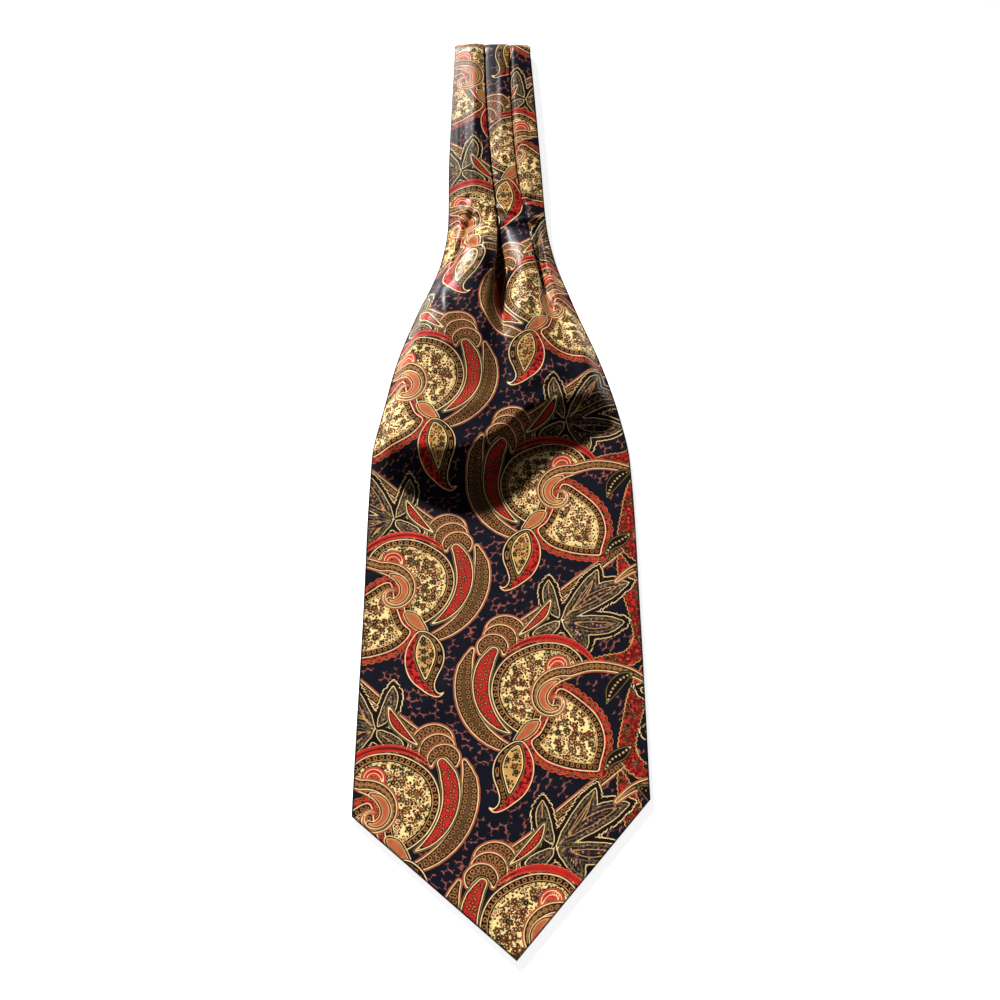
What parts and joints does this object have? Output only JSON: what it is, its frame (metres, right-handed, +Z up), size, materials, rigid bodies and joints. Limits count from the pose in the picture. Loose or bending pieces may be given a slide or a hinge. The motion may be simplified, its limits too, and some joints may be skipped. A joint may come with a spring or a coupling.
{
  "type": "silk cravat, folded in half and laid flat",
  "caption": "Pleated silk cravat folded in half: wide blade with a square point, puffed throat and narrow pleated neck.",
  "frame": {"origin": "on the surface it lies on, under the middle of its bounding box", "axes": "+Y from the point to the neck fold, +Z up from the surface, +X to the right with the point nearest"},
  "size_m": [0.1554, 0.612, 0.0213],
  "materials": {
    "printed_silk": "printed silk satin, navy-black ground with gold, red and brown paisley, soft sheen",
    "hidden_silk": "the same printed silk, on the half that lies underneath"
  },
  "bodies": {
    "root": {"front_blade": "printed_silk", "front_throat": "printed_silk", "front_neck": "printed_silk", "neck_fold": "printed_silk", "rear_half": "hidden_silk"}
  },
  "joints": []
}
